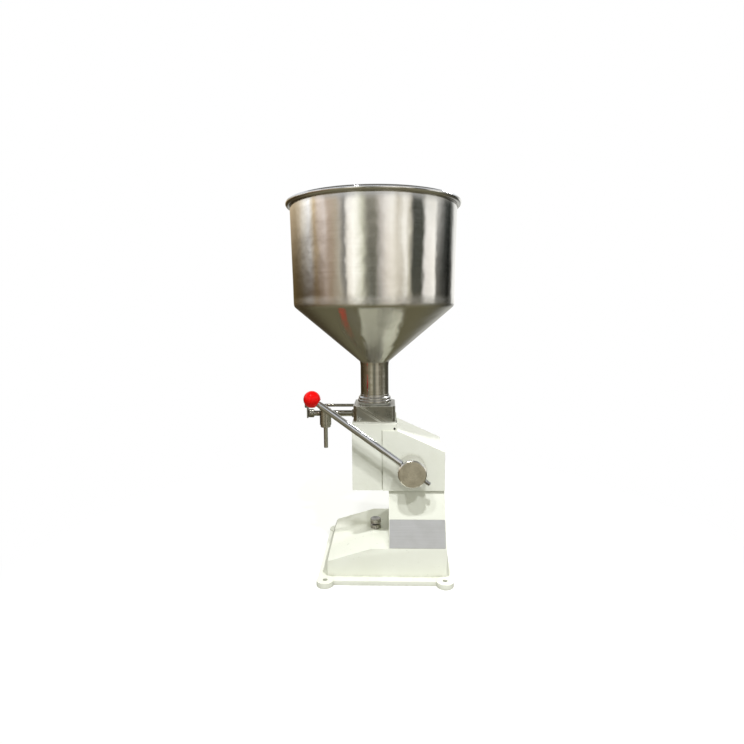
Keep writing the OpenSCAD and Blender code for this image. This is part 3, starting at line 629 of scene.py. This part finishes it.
s0, s1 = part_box("stroke_screw")
r_s = (s1.x - s0.x) / 2
bm = revolve([(0.0, s0.z), (0.0054, s0.z), (0.0060, s0.z + 0.0006)]
             + [p for i in range(36) for p in ((0.0060, s0.z + 0.0010 + i * 0.00175), (0.0054, s0.z + 0.00185 + i * 0.00175))]
             + [(0.0054, 0.0702), (0.0, 0.0702)], 48, Matrix.Translation((HX, 0, 0)))
make("stroke_stud", bm, "knurl", "stroke_stop", (), 25)
knurled("stroke_knob", HX, 0, 0.0706, 0.0796, r_s, "knurl", "stroke_stop", ("stroke_screw",))
knurled("stroke_ring", HX, 0, 0.0611, 0.0685, r_s, "knurl", "frame", ("stroke_lock_nut",), bore=0.00605)

# lever rod: polished bar, shouldered end, thread on the end that stands out of the hub
UP = math.radians(36.6)
u = Vector((-math.cos(UP), 0, math.sin(UP)))
hc = Vector((hub_c.x, hub_c.y, hub_c.z))
L = 0.222
prof = [(0.0, -0.040), (0.0031, -0.040), (0.0040, -0.0391)]
for i in range(12):
    z = -0.0386 + i * 0.00125
    prof += [(0.0040, z), (0.0035, z + 0.00062)]
prof += [(0.0040, -0.0232), (0.0040, 0.0121), (0.0060, 0.0121), (0.0060, 0.03), (0.0060, 0.10), (0.0060, 0.17),
         (0.0060, 0.2040), (0.00585, 0.2048), (0.0055, 0.2052), (0.0055, 0.2087), (0.0040, 0.2087), (0.0040, 0.2255), (0.0, 0.2255)]
make("lever_bar", revolve(prof, 64, frame_for(u, hc)), "chrome", "lever", ("lever_rod",), 25)

# ball knob with the flat and the bead where the rod enters
rb = 0.0152
prof = [(0.0061, -math.sqrt(rb * rb - 0.0061 ** 2))]
prof = [(0.0061, -rb + 0.0022), (0.0082, -rb + 0.0022), (0.0088, -rb + 0.0025)]
a = -math.degrees(math.acos(0.0092 / rb))
prof += [(rb * math.cos(math.radians(a + (90 - a) * i / 40)), rb * math.sin(math.radians(a + (90 - a) * i / 40))) for i in range(40)]
prof += [(0.0, rb), (0.0, 0.004), (0.0041, 0.004), (0.0041, -0.0125), (0.0061, -0.0125)]
make("knob_ball", revolve(prof, 96, frame_for(u, hc + u * L)), "red", "lever", ("ball_knob",), 40)

# end cap of the tee with a knurled rim
c0, c1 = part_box("tee_end_cap")
capc = mid("tee_end_cap")
m4 = Matrix.Translation((0, capc.y, capc.z)) @ Matrix.Rotation(math.radians(90), 4, "Y")
x0, x1 = c0.x, c1.x
xd = x0 + 0.0103
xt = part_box("tee_body")[0].x
rr = 0.0080


def capfn(r, z, a):
    if r > rr - 1e-5 and x0 + 0.0018 < z < xd - 0.0018:
        ph = (a / (2 * math.pi) * 36) % 1.0
        return r - 0.0004 * (1 - abs(2 * ph - 1))
    return r


prof = [(0.0, x0), (0.0040, x0), (0.0044, x0 + 0.0004), (0.0068, x0 + 0.0002), (0.0075, x0 + 0.0005), (rr, x0 + 0.0012), (rr, x0 + 0.0021),
        (rr, xd - 0.0021), (rr, xd - 0.0012), (0.0072, xd), (0.0056, xd), (0.0052, xd + 0.0006), (0.0052, xt - 0.0002), (0.0041, xt - 0.0002), (0.0041, x1), (0.0, x1)]
make("tee_cap", revolve(prof, 144, m4, capfn), "turned_x", "frame", ("tee_end_cap",), 35)


# springs as round wire
def coil(name, p0, p1, r, wire, turns, mat, body, replaces):
    p0, p1 = Vector(p0), Vector(p1)
    m = frame_for(p1 - p0, p0)
    h = (p1 - p0).length
    pts = []
    n = turns * 20
    for i in range(n + 1):
        a = 2 * math.pi * i / 20
        f = i / n
        f = f * f * (3 - 2 * f) * 0.25 + f * 0.75
        pts.append(Vector((r * math.cos(a), r * math.sin(a), wire + (h - 2 * wire) * f)))
    bm = bmesh.new()
    K = 10
    rings = []
    for i, p in enumerate(pts):
        a = 2 * math.pi * i / 20
        out = Vector((math.cos(a), math.sin(a), 0))
        up = Vector((0, 0, 1))
        rings.append([bm.verts.new(p + out * (wire * math.cos(2 * math.pi * k / K)) + up * (wire * math.sin(2 * math.pi * k / K))) for k in range(K)])
    for i in range(len(rings) - 1):
        for k in range(K):
            bm.faces.new([rings[i][k], rings[i + 1][k], rings[i + 1][(k + 1) % K], rings[i][(k + 1) % K]])
    bm.faces.new(rings[0])
    bm.faces.new(list(reversed(rings[-1])))
    bmesh.ops.transform(bm, matrix=m, verts=bm.verts[:])
    return make(name, bm, mat, body, replaces, 60)


a0, a1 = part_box("inlet_spring")
s1 = coil("valve_spring", (HX, 0, a0.z), (HX, 0, a1.z), 0.0052, 0.00052, 6, "turned_z", "frame", ("inlet_spring",))
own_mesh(s1)
a0, a1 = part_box("outlet_spring")
oc = mid("outlet_spring")
s2 = coil("check_spring", (a0.x, 0, oc.z), (a1.x, 0, oc.z), 0.0029, 0.00036, 6, "turned_x", "frame", ("outlet_spring",))
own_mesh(s2)


# ---------------------------------------------------------------- stage
def stage_mat():
    """Pale studio floor: plain near the machine, lit evenly further out."""
    g = G("floor_pale")
    n = g.noise(g.obj, 3.0, 3, 0.5)
    g.set(color=g.ramp(n, (0.3, (0.50, 0.50, 0.495)), (0.7, (0.52, 0.52, 0.515))), rough=0.8, spec=0.1)
    x, y, z = g.sep(g.obj)
    r = g.math("SQRT", g.math("ADD", g.math("MULTIPLY", x, x), g.math("MULTIPLY", y, y)))
    far = g.ramp(g.math("DIVIDE", r, 1.0), (0.25, 0.0), (0.75, 1.0), mode="EASE")
    seen = g.t.nodes.new("ShaderNodeLightPath").outputs["Is Camera Ray"]
    e = g.t.nodes.new("ShaderNodeEmission")
    e.inputs[0].default_value = (1, 1, 1, 1)
    g.link(g.math("ADD", g.math("MULTIPLY", seen, 0.62), 0.38), e.inputs[1])
    near = g.t.nodes.new("ShaderNodeEmission")
    near.inputs[0].default_value = (1, 1, 0.99, 1)
    g.link(g.math("MULTIPLY", seen, 0.58), near.inputs[1])
    add = g.t.nodes.new("ShaderNodeAddShader")
    g.link(g.p.outputs[0], add.inputs[0])
    g.link(near.outputs[0], add.inputs[1])
    mx = g.t.nodes.new("ShaderNodeMixShader")
    g.link(far, mx.inputs[0])
    g.link(add.outputs[0], mx.inputs[1])
    g.link(e.outputs[0], mx.inputs[2])
    g.link(mx.outputs[0], g.out.inputs[0])
    return g.mat


bm = bmesh.new()
bmesh.ops.create_grid(bm, x_segments=1, y_segments=1, size=14.0)
me = bpy.data.meshes.new("floor")
bm.to_mesh(me)
bm.free()
floor = bpy.data.objects.new("floor", me)
bpy.context.scene.collection.objects.link(floor)
me.materials.append(stage_mat())
floor.location = (0, 0, -0.0003)
floor.visible_glossy = False

world = bpy.data.worlds.new("studio")
bpy.context.scene.world = world
world.use_nodes = True
wt = world.node_tree
wt.nodes.clear()
wo = wt.nodes.new("ShaderNodeOutputWorld")
tc = wt.nodes.new("ShaderNodeTexCoord")
sp = wt.nodes.new("ShaderNodeSeparateXYZ")
wt.links.new(tc.outputs["Generated"], sp.inputs[0])


def wput(v, sock):
    if isinstance(v, bpy.types.NodeSocket):
        wt.links.new(v, sock)
    elif v is not None:
        sock.default_value = v


def wmath(op, a, b=None):
    n = wt.nodes.new("ShaderNodeMath")
    n.operation = op
    for i, v in enumerate((a, b)):
        wput(v, n.inputs[i])
    return n.outputs[0]


def wstep(v, lo, hi):
    n = wt.nodes.new("ShaderNodeMapRange")
    n.interpolation_type = "SMOOTHSTEP"
    wput(v, n.inputs[0])
    n.inputs[1].default_value = lo
    n.inputs[2].default_value = hi
    return n.outputs[0]


def wmix(f, a, b):
    n = wt.nodes.new("ShaderNodeMix")
    n.data_type = "RGBA"
    wput(f, n.inputs[0])
    wput((*a, 1) if isinstance(a, tuple) else a, n.inputs[6])
    wput((*b, 1) if isinstance(b, tuple) else b, n.inputs[7])
    return n.outputs[2]


def wring(stops):
    """Colours of the room by compass direction, in degrees from the camera side towards +X."""
    n = wt.nodes.new("ShaderNodeValToRGB")
    wt.links.new(azn, n.inputs[0])
    els = n.color_ramp.elements
    while len(els) < len(stops):
        els.new(0.5)
    for e, (d, c) in zip(els, stops):
        e.position = d / 360 + 0.5
        e.color = (*c, 1)
    return n.outputs[0]


az = wmath("ARCTAN2", sp.outputs[0], wmath("MULTIPLY", sp.outputs[1], -1.0))
azn = wmath("ADD", wmath("DIVIDE", az, 2 * math.pi), 0.5)
ez = sp.outputs[2]
# a workshop round the machine: bright windows and lamps, brown shelving on one side, dark gaps
EYE = wring([
    (-180, (1.0, 1.0, 1.0)), (-165, (0.7, 0.66, 0.56)), (-158, (0.22, 0.18, 0.11)), (-148, (0.20, 0.15, 0.07)), (-110, (0.13, 0.095, 0.05)),
    (-92, (0.17, 0.115, 0.06)), (-76, (0.26, 0.18, 0.10)), (-66, (0.56, 0.46, 0.38)), (-56, (0.52, 0.42, 0.32)),
    (-44, (0.70, 0.66, 0.56)), (-37, (0.34, 0.33, 0.31)), (-32, (1.20, 1.15, 1.05)), (-24, (1.50, 1.48, 1.40)),
    (-14, (1.0, 1.0, 0.86)), (-8, (0.34, 0.34, 0.28)), (-3, (0.16, 0.16, 0.13)), (4, (0.24, 0.24, 0.20)), (11, (0.75, 0.72, 0.70)),
    (20, (1.20, 1.13, 1.05)), (30, (1.25, 1.20, 1.10)), (38, (1.0, 0.95, 0.85)), (45, (1.40, 1.38, 1.30)), (50, (0.85, 0.82, 0.70)),
    (55, (0.09, 0.10, 0.08)), (68, (0.09, 0.10, 0.08)), (74, (1.30, 1.27, 1.25)), (90, (1.45, 1.42, 1.36)), (96, (0.26, 0.25, 0.23)),
    (108, (0.14, 0.14, 0.13)), (124, (0.02, 0.022, 0.02)), (134, (0.2, 0.2, 0.19)), (144, (1.1, 1.1, 1.08))])
ABOVE = wring([
    (-180, (0.75, 0.70, 0.60)), (-150, (0.74, 0.62, 0.46)), (-130, (0.80, 0.68, 0.50)), (-118, (1.10, 0.98, 0.80)),
    (-106, (1.55, 1.50, 1.40)), (-94, (1.75, 1.75, 1.75)), (-84, (1.25, 1.05, 0.75)), (-76, (1.50, 1.35, 1.25)), (-68, (1.45, 1.35, 1.30)),
    (-61, (0.97, 0.83, 0.71)), (-50, (0.85, 0.75, 0.60)), (-44, (0.75, 0.70, 0.65)), (-38, (0.48, 0.47, 0.44)), (-31, (1.40, 1.38, 1.35)),
    (-20, (1.55, 1.55, 1.46)), (-12, (1.0, 1.0, 0.85)), (-5, (0.58, 0.55, 0.46)), (3, (0.56, 0.53, 0.44)), (10, (1.0, 0.95, 0.88)),
    (18, (1.35, 1.33, 1.30)), (26, (1.55, 1.55, 1.50)), (33, (0.95, 0.90, 0.80)), (41, (1.60, 1.60, 1.55)), (49, (1.05, 1.0, 0.93)),
    (55, (0.11, 0.11, 0.09)), (68, (0.14, 0.15, 0.12)), (77, (1.15, 1.15, 1.10)), (92, (1.2, 1.2, 1.18)), (103, (0.6, 0.6, 0.58)),
    (115, (0.13, 0.14, 0.13)), (128, (0.07, 0.08, 0.07)), (145, (1.0, 1.0, 0.97))])
BELOW = wring([
    (-180, (0.60, 0.60, 0.56)), (-160, (0.07, 0.055, 0.03)), (-112, (0.07, 0.05, 0.025)), (-90, (0.15, 0.11, 0.06)), (-66, (0.20, 0.155, 0.095)),
    (-50, (0.30, 0.26, 0.18)), (-30, (0.42, 0.38, 0.27)), (-16, (0.46, 0.43, 0.32)), (-9, (0.14, 0.12, 0.08)), (-5, (0.42, 0.42, 0.35)), (1, (0.17, 0.17, 0.13)),
    (6, (0.30, 0.29, 0.23)), (14, (0.50, 0.47, 0.38)), (30, (0.58, 0.55, 0.45)), (42, (0.16, 0.14, 0.10)), (54, (0.27, 0.25, 0.19)),
    (70, (0.26, 0.24, 0.19)), (88, (0.20, 0.20, 0.15)), (110, (0.12, 0.11, 0.08)), (140, (0.06, 0.06, 0.05)), (160, (0.55, 0.55, 0.52))])


def wgamma(v, k):
    n = wt.nodes.new("ShaderNodeGamma")
    wput(v, n.inputs[0])
    n.inputs[1].default_value = k
    return n.outputs[0]


EYE, ABOVE = wgamma(EYE, 1.35), wgamma(ABOVE, 1.35)
c = wmix(wstep(ez, -0.10, -0.02), BELOW, EYE)
c = wmix(wstep(ez, 0.045, 0.20), c, ABOVE)
c = wmix(wstep(ez, 0.21, 0.28), c, (0.50, 0.49, 0.46))
c = wmix(wstep(ez, 0.30, 0.40), c, (0.98, 1.02, 1.10))
c = wmix(wstep(ez, 0.58, 0.72), c, (0.22, 0.22, 0.21))
c = wmix(wstep(ez, -0.35, -0.80), c, (0.205, 0.19, 0.12))
bg_metal = wt.nodes.new("ShaderNodeBackground")
wt.links.new(c, bg_metal.inputs[0])
bg_metal.inputs[1].default_value = 1.0
bg_fill = wt.nodes.new("ShaderNodeBackground")
bg_fill.inputs[0].default_value = (0.45, 0.455, 0.36, 1)
bg_seen = wt.nodes.new("ShaderNodeBackground")
bg_seen.inputs[0].default_value = (1, 1, 1, 1)
lp = wt.nodes.new("ShaderNodeLightPath")
m1 = wt.nodes.new("ShaderNodeMixShader")
wt.links.new(lp.outputs["Is Glossy Ray"], m1.inputs[0])
wt.links.new(bg_fill.outputs[0], m1.inputs[1])
wt.links.new(bg_metal.outputs[0], m1.inputs[2])
m2 = wt.nodes.new("ShaderNodeMixShader")
wt.links.new(lp.outputs["Is Camera Ray"], m2.inputs[0])
wt.links.new(m1.outputs[0], m2.inputs[1])
wt.links.new(bg_seen.outputs[0], m2.inputs[2])
wt.links.new(m2.outputs[0], wo.inputs[0])


def area(name, loc, target, size, power, color=(1, 1, 1), glossy=True):
    d = bpy.data.lights.new(name, "AREA")
    d.shape = "DISK"
    d.size = size
    d.energy = power
    d.color = color
    o = bpy.data.objects.new(name, d)
    bpy.context.scene.collection.objects.link(o)
    o.location = loc
    o.rotation_euler = (Vector(target) - Vector(loc)).to_track_quat("-Z", "Y").to_euler()
    o.visible_glossy = glossy
    return o


area("lamp_right", (0.68, -1.62, 2.18), (0, -0.06, 0.2), 0.11, 18.0, (0.95, 0.96, 1.0), False)
area("lamp_left", (-0.56, -1.07, 2.52), (0, -0.06, 0.2), 0.13, 17.5, (0.95, 0.96, 1.0))
area("lamp_over", (0.05, -1.10, 2.65), (0, -0.06, 0.2), 0.16, 43.0, (0.95, 0.96, 1.0), False)
area("lamp_back", (1.3, 1.3, 1.9), (0, 0, 0.25), 0.5, 22.0, (0.97, 0.98, 1.0))

# ---------------------------------------------------------------- camera
cam = bpy.data.cameras.new("camera")
cam.sensor_width = 36.0
cam.sensor_fit = "HORIZONTAL"
cam.lens = 521.0 * 36.0 / 744.0
cam.clip_start = 0.01
cam.clip_end = 60
co = bpy.data.objects.new("camera", cam)
bpy.context.scene.collection.objects.link(co)
AZ, PITCH, ROLL = math.radians(1.98), math.radians(7.2), math.radians(-0.45)
fw = Vector((-math.sin(AZ) * math.cos(PITCH), math.cos(AZ) * math.cos(PITCH), -math.sin(PITCH)))
right = Vector((math.cos(AZ), math.sin(AZ), 0))
upv = right.cross(fw)
r2 = right * math.cos(ROLL) + upv * math.sin(ROLL)
u2 = upv * math.cos(ROLL) - right * math.sin(ROLL)
co.matrix_world = Matrix((
    (r2.x, u2.x, -fw.x, HX + 0.0293),
    (r2.y, u2.y, -fw.y, -0.990),
    (r2.z, u2.z, -fw.z, 0.497),
    (0, 0, 0, 1)))
bpy.context.scene.camera = co
bpy.context.scene.view_settings.view_transform = "Standard"

bpy.context.view_layer.update()
